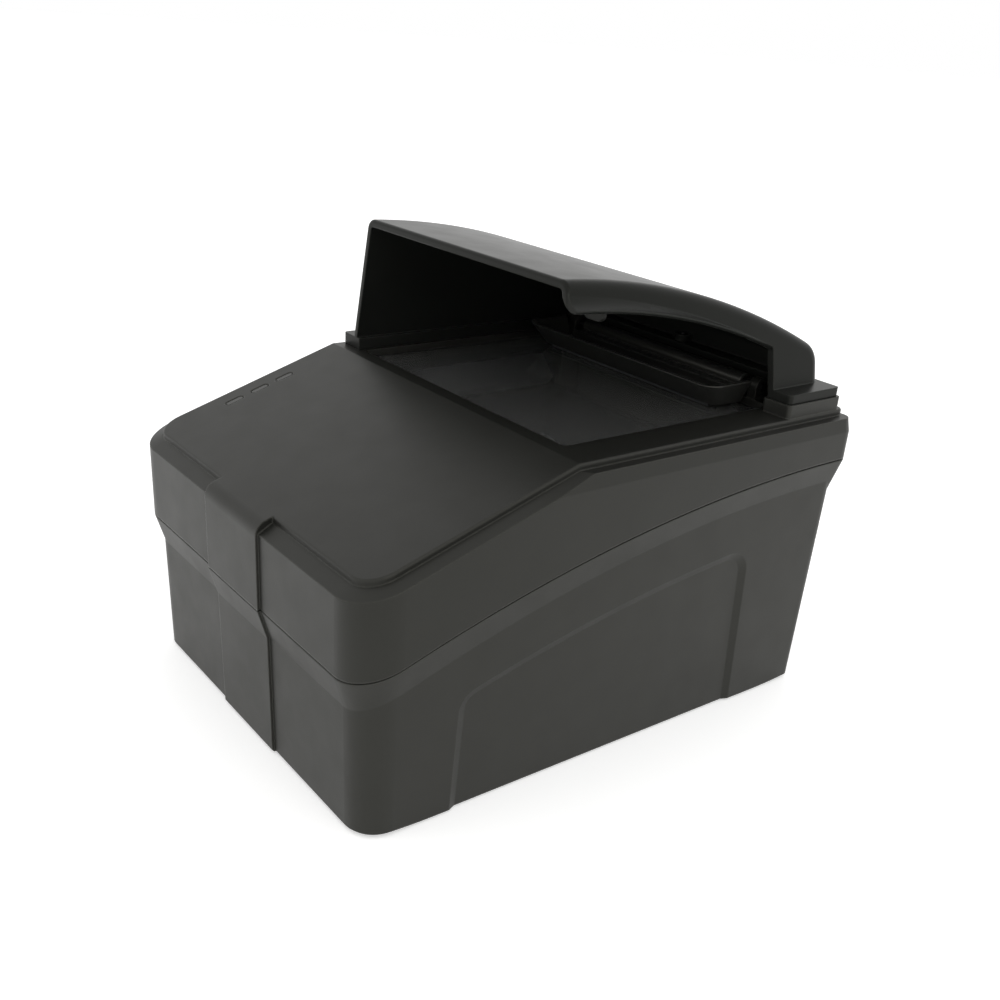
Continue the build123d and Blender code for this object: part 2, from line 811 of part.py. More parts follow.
def lower_housing():
    skin = housing_skin()
    half_band = band_width / 2
    band_rear = -half_depth + band_lap_depth
    strip = block(-half_band, half_band, -half_depth - overrun, band_rear, 0, tall)
    band = (Pos(0, -band_proud_depth, 0) * skin) & strip & below_parting(parting_gap)
    body = skin - arch_pan(1, 0) - arch_pan(-1, 180)
    rim = port_sheet(-port_panel_border)
    body = body - sunk_pan(rim, port_sheet(port_panel_border), 90, port_panel_depth) + band
    body = body - drafted(housing_wall)
    lip_inset = cover_wall + lip_clearance
    core = extrude(cover_plan(lip_inset + lip_wall), tall)
    body = body - (core - below_parting(housing_core_depth))
    lip = (extrude(cover_plan(lip_inset), tall) - core) & below_parting(-lip_height)
    body = body + (lip - below_parting(housing_core_depth / 2))
    slab = block(-half_width, half_width, -half_depth, half_depth, plate_top_z, plate_top_z + ledge_height)
    body = body + ((drafted(housing_wall / 2) & slab) - extrude(ledge_well(), tall))
    for x, y in pillar_spots:
        body = body + pillar(x, y, parting_z(y) - pillar_drop_height)
        body = body - pillar_bore(x, y, parting_z(y) - pillar_drop_height)
    for x, y in plate_screw_spots:
        bite = plate_screw_bite + hole_clearance
        body = body + upright(x, y, plate_top_z, plate_top_z + plate_boss_height, plate_boss_radius)
        body = body - upright(x, y, plate_top_z - overrun, plate_top_z + bite, tapped_radius)
    half = usb_width / 2 + usb_cutout_clearance
    low = board_top_z - usb_cutout_clearance
    high = board_top_z + usb_height + usb_cutout_clearance
    return body - block(usb_x - half, usb_x + half, frame_rear_y, half_depth, low, high)


# Hole in the ledge that carries the base plate
def ledge_well():
    inset = housing_wall + ledge_width
    front = inset - housing_half_depth
    return rounded_plan(2 * (housing_half_width - inset), front, -front, ledge_radius, ledge_radius)


# Screw pillar tied to the side wall by a web, and the stepped bore up its middle
def pillar(x, y, junction):
    foot = plate_top_z + plate_clearance
    edge = math.copysign(housing_half_width, x)
    web = block(x, edge, y - pillar_web / 2, y + pillar_web / 2, foot, junction)
    return (upright(x, y, foot, junction, pillar_radius) + web) & drafted(housing_wall / 2)


def pillar_bore(x, y, junction):
    wide = upright(x, y, 0, junction - pillar_cap_height, pillar_bore_radius)
    return wide + upright(x, y, 0, junction + overrun, case_screw_radius + hole_clearance)


# Plate that closes the bottom of the housing
def base_plate():
    plate = raised(housing_plan(housing_wall + plate_clearance), plate_bottom_height, plate_top_z)
    low = plate_bottom_height - overrun
    high = plate_top_z + overrun
    for x, y in pillar_spots:
        plate = plate - upright(x, y, low, high, access_hole_radius)
    for x, y in plate_screw_spots:
        plate = plate - upright(x, y, low, high, clearance_radius)
    for x, y in frame_screw_spots + bracket_screw_spots:
        plate = plate - upright(x, y, low, high, tapped_radius)
    for x, y in board_hole_spots:
        plate = plate - upright(x, y, low, high, spigot_radius + screw_clearance)
    for number in range(vent_count):
        x = (number - (vent_count - 1) / 2) * vent_pitch
        slot = Pos(x, vent_front_inset - half_depth) * Rot(0, 0, 90) * SlotOverall(vent_length, vent_width)
        plate = plate - raised(slot, low, high)
    return plate


def rubber_foot(x, y):
    pad = upright(x, y, 0, plate_bottom_height, foot_radius)
    return chamfer(pad.edges().group_by(Axis.Z)[0], foot_edge_width)


# Hood: walls that lean inward under a roof curved from front to back
def hood_half(z, inset):
    return hood_foot_half_width - (z - flange_top_z) * math.tan(hood_lean) - inset / math.cos(hood_lean)


def crown(y, depth):
    return hood_axis_z + math.sqrt((hood_top_radius - depth) ** 2 - (y - hood_crest_y) ** 2)


def hood_block(front, inset, low):
    rear = hood_rear_y - inset
    high = hood_crown_z + overrun
    corners = [(-hood_half(low, inset), low), (-hood_half(high, inset), high)]
    corners += [(hood_half(high, inset), high), (hood_half(low, inset), low), (-hood_half(low, inset), low)]
    section = Plane((0, front, 0), x_dir=(1, 0, 0), z_dir=(0, -1, 0)) * make_face(Polyline(*corners))
    bar = extrude(section, front - rear)
    middle = (front + rear) / 2
    start = (front, crown(front, inset))
    end = (rear, crown(rear, inset))
    roof = ThreePointArc(start, (middle, crown(middle, inset)), end)
    profile = make_face([roof, Polyline(end, (rear, low), (front, low), start)])
    corner = profile.vertices().sort_by(Axis.X)[-2:].sort_by(Axis.Y)[-1]
    profile = fillet(corner, hood_rear_radius - inset)
    shape = bar & extrude(Plane.YZ * profile, hood_half(low, inset) + overrun, both=True)
    edges = [edge for edge in shape.edges() if edge.center().Y > front + touch]
    edges = [edge for edge in edges if edge.center().Z > low + touch and abs(edge.center().X) > touch]
    return fillet(edges, hood_shoulder_radius - inset)


# Section in x and depth below the crown, swept round the crown's axis from one y to another
def crown_ring(edges, start_y, end_y):
    first = math.asin((start_y - hood_crest_y) / hood_top_radius)
    last = math.asin((end_y - hood_crest_y) / hood_top_radius)
    centre = (0, hood_crest_y, hood_axis_z)
    frame = Plane(centre, x_dir=(1, 0, 0), z_dir=(0, -math.cos(first), math.sin(first)))
    return revolve(frame * make_face(edges), Axis(centre, (-1, 0, 0)), math.degrees(last - first))


def crown_point(inset, depth):
    return (hood_foot_half_width - inset, hood_top_radius - depth)


# Rolled lip: the sheet itself, and the trim that makes room for it in the plain wall
def lip_underside():
    tip = crown_point(lip_inner_tip_inset, lip_inner_tip_depth)
    root = crown_point(lip_inner_root_inset, lip_inner_root_depth)
    return tip, root, ThreePointArc(tip, crown_point(lip_inner_bend_inset, lip_inner_bend_depth), root)


def lip_sheet():
    root = crown_point(lip_root_inset, lip_root_depth)
    tip = crown_point(lip_tip_inset, lip_tip_depth)
    inner_tip, inner_root, inner_arc = lip_underside()
    outer_arc = ThreePointArc(root, crown_point(lip_bend_inset, lip_bend_depth), tip)
    close = Polyline(inner_root, crown_point(lip_core_inset, lip_core_depth), root)
    edges = [outer_arc, Line(tip, inner_tip), inner_arc, close]
    return crown_ring(edges, hood_front_y + lip_end_setback, window_rear_y + lip_rear_reach)


def lip_trim():
    inner_tip, inner_root, inner_arc = lip_underside()
    corners = [inner_root, crown_point(lip_trim_inset, lip_inner_root_depth)]
    corners += [crown_point(lip_trim_inset, lip_trim_depth), crown_point(lip_inner_tip_inset, lip_trim_depth)]
    corners += [inner_tip]
    rear = window_rear_y - lip_end_setback
    return crown_ring([inner_arc, Polyline(*corners)], hood_front_y - overrun, rear)


def side_window():
    front = hood_front_y - overrun
    middle = (front + window_rear_y) / 2
    start = (front, crown(front, lip_tip_depth))
    end = (window_rear_y, crown(window_rear_y, lip_tip_depth))
    roof = ThreePointArc(start, (middle, crown(middle, lip_tip_depth)), end)
    low = deck_z - overrun
    sheet = make_face([roof, Polyline(end, (window_rear_y, low), (front, low), start)])
    corner = sheet.vertices().sort_by(Axis.X)[-2:].sort_by(Axis.Y)[-1]
    sheet = fillet(corner, window_corner_radius)
    inner = hood_foot_half_width - lip_trim_inset
    return Pos(inner, 0, 0) * extrude(Plane.YZ * sheet, inner)


# Foot of the hood's left wall, which stands on the deck and ends at the plinth
def left_foot():
    outer = plinth_half_width - flange_inset
    rear = plinth_rear_inner_y - left_foot_clearance
    foot = block(-outer, -plinth_inner_x, hood_front_y, rear, deck_z, left_foot_z)
    corners = foot.edges().filter_by(Axis.Z).group_by(Axis.X)[0]
    return fillet(corners, plinth_corner_radius)


def hood():
    outer = hood_block(hood_front_y, 0, deck_z)
    face = [face for face in outer.faces() if abs(face.center().Y - hood_front_y) < touch][0]
    outer = fillet([edge for edge in face.edges() if edge.center().Z > deck_z + touch], hood_front_radius)
    inner = hood_block(hood_front_y - overrun, hood_wall, deck_z - overrun)
    shell = outer - inner - side_window()
    shell = shell - lip_trim() + (lip_sheet() - inner)
    under = plinth_plan(-left_foot_clearance)
    shell = shell - raised(under, deck_z - overrun, plinth_top_z) + left_foot()
    shell = shell + raised(plinth_plan(flange_inset), plinth_top_z, flange_top_z)
    right = hood_foot_half_width - tab_side_inset
    rear = hood_front_y + tab_setback
    ceiling = crown(rear, hood_wall / 2)
    tab = block(right - tab_width, right, rear, rear + tab_thickness, ceiling - tab_height, ceiling)
    shell = shell + fillet(tab.edges().filter_by(Axis.Y).group_by(Axis.Z)[0], tab_thickness)
    for x, y in hood_rear_screws:
        bite = hood_screw_rear_bite + hole_clearance
        shell = shell + upright(x, y, plinth_top_z, plinth_top_z + hood_boss_height, hood_boss_radius)
        shell = shell - upright(x, y, plinth_top_z, plinth_top_z + bite, tapped_radius)
    for x, y in hood_side_screws:
        shell = shell - upright(x, y, deck_z, deck_z + hood_screw_side_bite + hole_clearance, tapped_radius)
    return shell


# Glass platen with its gasket above and the board and retainer that hold it from below
def window_frame(z0, z1):
    plan = Pos(0, (antenna_front_y + antenna_rear_y) / 2) * RectangleRounded(
        2 * antenna_half_width, antenna_rear_y - antenna_front_y, glass_radius
    )
    frame = raised(plan - opening_plan(antenna_window_clearance), z0, z1)
    for x, y in retainer_screw_spots:
        frame = frame - upright(x, y, z0 - overrun, z1 + overrun, clearance_radius)
    return frame


def glass_plan():
    front = opening_front_y - glass_margin
    rear = opening_rear_y + glass_margin
    return rounded_plan(2 * (opening_half_width + glass_margin), front, rear, glass_radius, glass_radius)


def glass_gasket():
    return raised(glass_plan() - opening_plan(gasket_inner_clearance), glass_top_z, deck_under_z)


# Tray of the hold-down flap at a height share, 0 at its underside and 1 at its lips
def tray_plan(share, inset):
    half = tray_half_width + share * tray_side_flare - inset
    front = tray_front_y - share * tray_front_flare + inset
    rear = tray_rear_y + (overrun if inset > 0 else 0)
    sheet = Pos(0, (front + rear) / 2) * Rectangle(2 * half, rear - front)
    radius = tray_corner_radius + share * tray_flare_radius_gain - inset
    sheet = fillet(sheet.vertices().group_by(Axis.Y)[0], radius)
    return Pos(0, 0, flap_under_z + share * tray_height) * sheet


# Tray with a raised rear wall, a shelf back from it and a barrel on the hinge pin
def hold_down_flap():
    floor_share = flap_thickness / tray_height
    tray = loft([tray_plan(0, 0), tray_plan(1, 0)], ruled=True)
    low = tray_plan(floor_share, flap_thickness)
    pocket = loft([low, tray_plan(1 + floor_share, flap_thickness)], ruled=True)
    flap = tray - pocket
    wall_front = tray_rear_y - flap_thickness / 2
    shelf_under = hinge_z - barrel_radius
    shelf_top = shelf_under + flap_thickness
    wall_rear = wall_front + flap_thickness
    flap = flap + block(-web_half_width, web_half_width, wall_front, wall_rear, flap_under_z, shelf_top)
    flap = flap + block(-barrel_half_width, barrel_half_width, wall_front, hinge_y, shelf_under, shelf_top)
    flap = flap + crosswise(-barrel_half_width, barrel_half_width, hinge_y, hinge_z, barrel_radius)
    return flap - crosswise(-pin_reach, pin_reach, hinge_y, hinge_z, pin_radius + pin_running_clearance)


def hinge_pin():
    return crosswise(-pin_reach, pin_reach, hinge_y, hinge_z, pin_radius)


def flap_pad():
    half = tray_half_width - pad_side_inset
    front = tray_front_y + pad_front_inset
    return block(-half, half, front, front + pad_length, flap_under_z - pad_thickness, flap_under_z)


# Light pipes of the status windows and the board under them
def status_window(y):
    length = status_length - 2 * status_clearance
    width = status_width - 2 * status_clearance
    pipe = slope_slot(y, length, width, status_recess_depth, status_pipe_length)
    flange_under = cover_wall + status_flange_thickness
    return pipe + slope_slot(y, status_flange_length, status_flange_width, cover_wall, flange_under)


def indicator_board():
    place = slope_frame(status_middle_y, status_board_depth + status_board_thickness / 2).location
    board = place * Box(status_board_length, status_board_width, status_board_thickness)
    for side in sides:
        reach = side * status_post_offset
        low = status_board_depth + overrun
        board = board - slope_rod(reach, clearance_radius, status_board_depth - overrun, low)
    return board


def indicator_led(y):
    place = slope_frame(y, status_board_depth - status_led_height / 2).location
    return place * Box(status_led_length, status_led_width, status_led_height)


def indicator_screw(side):
    reach = side * status_post_offset
    under = status_board_depth + status_board_thickness
    shank = slope_rod(reach, small_screw_radius, cover_wall + hole_clearance, under)
    return shank + slope_rod(reach, small_screw_head_radius, under, under + small_screw_head_height)


# Optical frame: one side is a bent profile, the other its mirror image
def optical_frame():
    inner = frame_inner_x
    outer = frame_inner_x + frame_wall
    foot_z = plate_top_z + frame_wall
    foot_x = frame_inner_x + frame_foot_width
    skew_x = frame_wall * math.sin(wing_angle)
    skew_z = frame_wall * math.cos(wing_angle)
    bend_z = frame_wing_z - frame_wall * math.tan(wing_angle / 2)
    tip_x = inner + frame_wing_width
    tip_z = frame_wing_z + frame_wing_width * math.tan(wing_angle)
    corners = [(inner, plate_top_z), (foot_x, plate_top_z), (foot_x, foot_z), (outer, foot_z)]
    corners += [(outer, bend_z), (tip_x + skew_x, tip_z - skew_z), (tip_x, tip_z), (inner, frame_wing_z)]
    corners += [(inner, plate_top_z)]
    front = Plane((0, frame_front_y, 0), x_dir=(1, 0, 0), z_dir=(0, -1, 0))
    section = front * make_face(Polyline(*corners))
    right = extrude(section, -frame_length)
    rail_width = mirror_rail_width + frame_wall
    rail_drop = -(mirror_thickness + mirror_rail_depth) / 2
    rail_x = inner + frame_wall / 2 - rail_width / 2
    rail = Box(rail_width, mirror_length, mirror_rail_depth)
    right = right + mirror_place() * Pos(rail_x, 0, rail_drop) * rail
    frame = right + mirror(right, about=Plane.YZ)
    rear_wall_z = frame_wing_z - frame_rear_wall_height
    frame = frame + block(-outer, outer, frame_rear_y - frame_wall, frame_rear_y, rear_wall_z, frame_wing_z)
    tie_rear = frame_front_y + frame_tie_depth
    frame = frame + block(-outer, outer, frame_front_y, tie_rear, plate_top_z, foot_z)
    for x, y in frame_screw_spots:
        frame = frame - upright(x, y, plate_top_z - overrun, foot_z + overrun, clearance_radius)
    return frame


def mirror_place():
    return Pos(0, mirror_centre_y, camera_height) * Rot(mirror_tilt, 0, 0)


def fold_mirror():
    width = 2 * (frame_inner_x - mirror_side_clearance)
    return mirror_place() * Box(width, mirror_length, mirror_thickness)


# Spring clip: a pad on the mirror's face and a leg up the side plate
def mirror_clip(side, along):
    face = mirror_thickness / 2
    pad_x = side * (frame_inner_x - mirror_clip_width / 2)
    pad = Box(mirror_clip_width, mirror_clip_length, mirror_clip_thickness)
    leg_x = side * (frame_inner_x - mirror_clip_thickness / 2)
    leg = Box(mirror_clip_thickness, mirror_clip_length, mirror_clip_leg_height)
    clip = Pos(pad_x, along, face + mirror_clip_thickness / 2) * pad
    clip = clip + Pos(leg_x, along, face + mirror_clip_leg_height / 2) * leg
    return mirror_place() * clip


# Light boards lie on the slanted wings and shine up and inward
def wing_box(along, across, bottom, top, y):
    origin = (frame_inner_x, (frame_front_y + frame_rear_y) / 2, frame_wing_z)
    out = (-math.sin(wing_angle), 0, math.cos(wing_angle))
    frame = Plane(origin, x_dir=(math.cos(wing_angle), 0, math.sin(wing_angle)), z_dir=out)
    middle = frame_wing_width / math.cos(wing_angle) / 2
    return frame.location * Pos(middle, y, (bottom + top) / 2) * Box(along, across, top - bottom)


def light_board():
    return wing_box(light_board_width, light_board_length, 0, light_board_thickness, 0)


def light_diffuser():
    low = light_board_thickness
    high = low + diffuser_height
    cover = wing_box(light_board_width, light_board_length, low, high, 0)
    width = light_board_width - 2 * diffuser_wall
    inside = wing_box(width, light_board_length - 2 * diffuser_wall, low, high - diffuser_wall, 0)
    return cover - inside


def light_led(number):
    y = (number - (light_led_count - 1) / 2) * light_board_length / light_led_count
    top = light_board_thickness + light_led_height
    return wing_box(light_led_size, light_led_size, light_board_thickness, top, y)


# Camera bracket: one bent sheet with four studs
def camera_bracket():
    top = plate_top_z + bracket_height
    inner = bracket_inner_y
    foot_z = plate_top_z + bracket_sheet_thickness
    toe = bracket_y + bracket_foot_length
    corners = [(bracket_y, plate_top_z), (toe, plate_top_z), (toe, foot_z), (inner, foot_z), (inner, top)]
    corners += [(bracket_y, top), (bracket_y, plate_top_z)]
    sheet = make_face(Polyline(*corners))
    inner_corner = [v for v in sheet.vertices() if abs(v.X - inner) < touch and abs(v.Y - foot_z) < touch]
    sheet = fillet(inner_corner, bracket_bend_radius)
    heel = [v for v in sheet.vertices() if abs(v.X - bracket_y) < touch]
    outer_corner = [v for v in heel if abs(v.Y - plate_top_z) < touch]
    sheet = fillet(outer_corner, bracket_bend_radius + bracket_sheet_thickness)
    bracket = extrude(Plane.YZ * sheet, bracket_half_width, both=True)
    for x, y in bracket_screw_spots:
        bracket = bracket - upright(x, y, plate_top_z - overrun, foot_z + overrun, clearance_radius)
    for x, z in camera_hole_spots:
        start = inner - bracket_sheet_thickness / 2
        bracket = bracket + endwise(x, start, camera_board_y, z, camera_standoff_radius)
        bracket = bracket - endwise(x, bracket_y - overrun, camera_board_y + overrun, z, tapped_radius)
    return bracket


def camera_board():
    half = camera_board_size / 2
    board = block(-half, half, camera_board_y, camera_face_y, camera_height - half, camera_height + half)
    for x, z in camera_hole_spots:
        board = board - endwise(x, camera_board_y - overrun, camera_face_y + overrun, z, clearance_radius)
    return board


def camera_screw(x, z):
    shank = endwise(x, bracket_inner_y, camera_face_y, z, small_screw_radius)
    head_end = camera_face_y + small_screw_head_height
    return shank + endwise(x, camera_face_y, head_end, z, small_screw_head_radius)


def image_sensor():
    half = sensor_size / 2
    front = camera_face_y + sensor_height
    return block(-half, half, camera_face_y, front, camera_height - half, camera_height + half)


def lens_holder():
    half = lens_holder_size / 2
    base_end = camera_face_y + lens_holder_base_length
    base = block(-half, half, camera_face_y, base_end, camera_height - half, camera_height + half)
    base = chamfer(base.edges().filter_by(Axis.Y), lens_holder_bevel)
    neck_end = base_end + lens_holder_neck_length
    base = base + endwise(0, base_end, neck_end, camera_height, lens_holder_neck_radius)
    bore = lens_radius + lens_running_clearance
    return base - endwise(0, camera_face_y - overrun, neck_end + overrun, camera_height, bore)


def camera_lens():
    start = camera_face_y + lens_setback
    end = start + lens_length
    barrel = endwise(0, start, end, camera_height, lens_radius)
    barrel = barrel + endwise(0, end - lens_rim_length, end, camera_height, lens_rim_radius)
    barrel = barrel - endwise(0, start - overrun, end + overrun, camera_height, lens_rear_bore_radius)
    seat = end - lens_front_bore_depth
    return barrel - endwise(0, seat, end + overrun, camera_height, lens_front_bore_radius)


def lens_element():
    seat = camera_face_y + lens_setback + lens_length - lens_front_bore_depth
    radius = lens_front_bore_radius - screw_clearance
    shoulder = seat + element_thickness
    ball = (radius**2 + element_crown_height**2) / (2 * element_crown_height)
    middle = radius / 2
    middle_y = shoulder + element_crown_height - ball + math.sqrt(ball**2 - middle**2)
    dome = ThreePointArc((radius, shoulder), (middle, middle_y), (0, shoulder + element_crown_height))
    rest = Polyline((0, shoulder + element_crown_height), (0, seat), (radius, seat), (radius, shoulder))
    return Pos(0, 0, camera_height) * revolve(make_face([dome, rest]), Axis.Y)


# Main board and its parts
def main_board():
    half = board_half_width
    board = block(-half, half, board_front_y, board_rear_y, board_under_z, board_top_z)
    board = chamfer(board.edges().filter_by(Axis.Z), board_corner_bevel)
    for x, y in board_hole_spots:
        board = board - upright(x, y, board_under_z - overrun, board_top_z + overrun, clearance_radius)
    return board


def board_standoff(x, y):
    body = upright(x, y, plate_top_z, board_under_z, board_standoff_radius)
    body = body + upright(x, y, plate_bottom_height, plate_top_z, spigot_radius)
    low = board_under_z - board_screw_bite - hole_clearance
    return body - upright(x, y, low, board_under_z + overrun, tapped_radius)


def chip(x, y, length, width, height):
    top = board_top_z + height
    return block(x - length / 2, x + length / 2, y - width / 2, y + width / 2, board_top_z, top)


def heat_sink():
    low = board_top_z + chip_height
    half = sink_size / 2
    sink = block(chip_x - half, chip_x + half, chip_y - half, chip_y + half, low, low + sink_base_height)
    for number in range(sink_fin_count):
        pitch = (sink_size - sink_fin_thickness) / (sink_fin_count - 1)
        x = chip_x - half + sink_fin_thickness / 2 + number * pitch
        fin_half = sink_fin_thickness / 2
        sink = sink + block(x - fin_half, x + fin_half, chip_y - half, chip_y + half, low, low + sink_height)
    return sink


def usb_socket():
    wall_y = housing_half_depth + (usb_middle_z - housing_bottom_height) * math.tan(draft)
    face_y = wall_y - port_panel_depth - usb_setback
    body = socket_block(usb_width, usb_height, face_y - usb_length, face_y)
    mouth = socket_block(usb_mouth_width, usb_mouth_height, face_y - usb_mouth_depth, face_y + overrun)
    mouth = chamfer(mouth.edges().filter_by(Axis.Y).group_by(Axis.Z)[-1], usb_mouth_bevel)
    tongue = socket_block(usb_tongue_width, usb_tongue_height, face_y - usb_mouth_depth, face_y - usb_setback)
    return body - mouth + tongue


def socket_block(width, height, y0, y1):
    low = usb_middle_z - height / 2
    return block(usb_x - width / 2, usb_x + width / 2, y0, y1, low, low + height)


def buzzer():
    x = board_half_width - buzzer_side_inset
    y = board_rear_y - buzzer_rear_inset
    top = board_top_z + buzzer_height
    can = upright(x, y, board_top_z, top, buzzer_radius)
    return can - upright(x, y, top - buzzer_vent_depth, top + overrun, buzzer_vent_radius)


def capacitor(number):
    x = board_half_width - capacitor_side_inset
    y = board_front_y + capacitor_front_inset + number * capacitor_pitch
    return upright(x, y, board_top_z, board_top_z + capacitor_height, capacitor_radius)


def camera_header():
    low = camera_height - camera_board_size / 2
    half = header_length / 2
    end = camera_face_y + cable_header_depth
    return block(-half, half, camera_face_y, end, low, low + cable_header_height)


# Flat cable: down from the camera board, then back to the header on the main board
def camera_cable():
    drop_y = camera_face_y + cable_header_depth / 2
    start_z = camera_height - camera_board_size / 2
    level = board_top_z + header_height / 2
    end_y = board_front_y + header_front_inset - header_width / 2
    half = cable_thickness / 2
    corners = [(drop_y - half, start_z), (drop_y - half, level - half), (end_y, level - half)]
    corners += [(end_y, level + half), (drop_y + half, level + half), (drop_y + half, start_z)]
    corners += [(drop_y - half, start_z)]
    strip = make_face(Polyline(*corners))
    low = [v for v in strip.vertices() if abs(v.X - drop_y) < cable_thickness and v.Y < level]
    strip = fillet(low, cable_bend_radius + cable_thickness)
    inner = [v for v in strip.vertices() if abs(v.X - drop_y - half) < touch]
    high = [v for v in inner if abs(v.Y - level - half) < touch]
    strip = fillet(high, cable_bend_radius)
    return extrude(Plane.YZ * strip, cable_width / 2, both=True)


def case_screw(x, y):
    seat = parting_z(y) - pillar_drop_height - pillar_cap_height
    length = pillar_cap_height + case_screw_engagement
    return screw_up(x, y, seat, length, case_screw_radius, case_screw_head_radius, case_screw_head_height)


def base_screw(x, y):
    length = plate_thickness + plate_screw_bite
    head = plate_screw_head_height
    return screw_up(x, y, plate_bottom_height, length, small_screw_radius, small_screw_head_radius, head)


def small_screw_up(x, y, seat_z, length):
    head = small_screw_head_height
    return screw_up(x, y, seat_z, length, small_screw_radius, small_screw_head_radius, head)


case_screws = [case_screw(x, y) for x, y in pillar_spots]
base_screws = [base_screw(x, y) for x, y in plate_screw_spots]
hood_seat = plinth_top_z - cover_wall
hood_side_length = cover_wall + hood_screw_side_bite
hood_rear_length = cover_wall + hood_screw_rear_bite
hood_screws = [small_screw_up(x, y, deck_under_z, hood_side_length) for x, y in hood_side_screws]
hood_screws += [small_screw_up(x, y, hood_seat, hood_rear_length) for x, y in hood_rear_screws]
retainer_length = deck_under_z - retainer_under_z
retainer_screws = [
    small_screw_up(x, y, retainer_under_z, retainer_length) for x, y in retainer_screw_spots
]
chassis_bite = plate_thickness - hole_clearance
frame_seat = plate_top_z + frame_wall
chassis_screws = [screw_down(x, y, frame_seat, frame_wall + chassis_bite) for x, y in frame_screw_spots]
bracket_seat = plate_top_z + bracket_sheet_thickness
bracket_screw_length = bracket_sheet_thickness + chassis_bite
chassis_screws += [screw_down(x, y, bracket_seat, bracket_screw_length) for x, y in bracket_screw_spots]
board_screw_length = board_thickness + board_screw_bite
board_screws = [screw_down(x, y, board_top_z, board_screw_length) for x, y in board_hole_spots]
board_screws += [camera_screw(x, z) for x, z in camera_hole_spots]
memory_ys = [chip_y + side * memory_pitch / 2 for side in sides]
chips = [chip(chip_x, chip_y, chip_size, chip_size, chip_height)]
memory_x = chip_x - memory_gap
chips += [chip(memory_x, y, memory_length, memory_width, memory_height) for y in memory_ys]
header_y = board_front_y + header_front_inset
headers = [chip(0, header_y, header_length, header_width, header_height), camera_header()]
foot_ys = (foot_end_inset - half_depth, half_depth - foot_end_inset)
feet = [rubber_foot(x, y) for x, y in grid(half_width - foot_side_inset, foot_ys)]
clip_spots = grid(1, (-mirror_clip_offset, mirror_clip_offset))
mirror_clips = [mirror_clip(side, along) for side, along in clip_spots]

pieces = {
    "top_cover": top_cover(),
    "lower_housing": lower_housing(),
    "hood": hood(),
    "base_plate": base_plate(),
    "rubber_feet": group(feet),
    "scan_glass": raised(glass_plan(), glass_under_z, glass_top_z),
    "glass_gasket": glass_gasket(),
    "antenna_board": window_frame(antenna_under_z, glass_under_z),
    "glass_retainer": window_frame(retainer_under_z, antenna_under_z),
    "hold_down_flap": hold_down_flap(),
    "flap_hinge_pin": hinge_pin(),
    "flap_pad": flap_pad(),
    "status_windows": group([status_window(y) for y in status_ys]),
    "indicator_board": indicator_board(),
    "indicator_leds": group([indicator_led(y) for y in status_ys]),
    "indicator_screws": group([indicator_screw(side) for side in sides]),
    "optical_frame": optical_frame(),
    "fold_mirror": fold_mirror(),
    "mirror_clips": group(mirror_clips),
    "light_boards": both_sides(light_board()),
    "light_diffusers": both_sides(light_diffuser()),
    "illumination_leds": both_sides(group([light_led(number) for number in range(light_led_count)])),
    "camera_bracket": camera_bracket(),
    "camera_board": camera_board(),
    "image_sensor": image_sensor(),
    "lens_holder": lens_holder(),
    "camera_lens": camera_lens(),
    "lens_element": lens_element(),
    "main_board": main_board(),
    "board_standoffs": group([board_standoff(x, y) for x, y in board_hole_spots]),
    "board_chips": group(chips),
    "heat_sink": heat_sink(),
    "usb_socket": usb_socket(),
    "buzzer": buzzer(),
    "capacitors": group([capacitor(number) for number in range(capacitor_count)]),
    "board_headers": group(headers),
    "camera_cable": camera_cable(),
    "case_screws": group(case_screws),
    "base_screws": group(base_screws),
    "hood_screws": group(hood_screws),
    "retainer_screws": group(retainer_screws),
    "chassis_screws": group(chassis_screws),
    "board_screws": group(board_screws),
}

for name, piece in pieces.items():
    export_step(piece, f"parts/{name}.step")
    print(name, piece.is_valid, len(piece.solids()), round(piece.volume))
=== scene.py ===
import math

import bpy
from mathutils import Matrix, Vector

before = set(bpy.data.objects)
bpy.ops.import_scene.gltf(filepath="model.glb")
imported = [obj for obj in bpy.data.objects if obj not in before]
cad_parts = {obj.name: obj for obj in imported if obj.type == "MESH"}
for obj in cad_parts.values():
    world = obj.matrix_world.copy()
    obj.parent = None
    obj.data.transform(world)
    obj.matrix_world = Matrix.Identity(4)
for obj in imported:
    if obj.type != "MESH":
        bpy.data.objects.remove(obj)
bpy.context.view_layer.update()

# Lengths are in metres, angles in degrees and lamp powers in watts, and colours are linear.
# A detail is how many octaves a noise has, and a spread is a share either side of the middle.

# Moulded plastic
plastic_gloss = 0.36
plastic_gloss_tint = (1.0, 0.995, 0.91)
cloud_scale = 38.0
cloud_detail = 3.0
cloud_spread = 0.12
patch_scale = 90.0
patch_detail = 4.0
patch_spread = 0.14
grain_scale = 1400.0
grain_detail = 3.0
grain_relief = 0.12
grain_depth = 0.00012

# Edges of moulded plastic, rubbed smoother and painted paler, partly as wear and partly as painted
# highlight, whose start and end are cosines between a face and its rounded normal
edge_radius = 0.0008
edge_start = 0.995
edge_end = 0.84
edge_wear_and_highlight_paleness = 3.6
edge_polish = 0.35

# Rubber
rubber_cloud_scale = 160.0
rubber_cloud_detail = 4.0
rubber_darkest = 0.8
rubber_palest = 1.3
rubber_roughness = 0.78
rubber_pore_scale = 2200.0
rubber_pore_detail = 2.0
rubber_pore_relief = 0.25
rubber_pore_depth = 0.0001

# Metal
brush_stretch = (60.0, 1400.0, 1400.0)
polish_stretch = (8.0, 8.0, 8.0)
streak_scale = 1.0
streak_detail = 4.0
streak_darkest = 0.85
streak_palest = 1.08
streak_roughness_spread = 0.3
streak_relief = 0.08
streak_depth = 0.00005

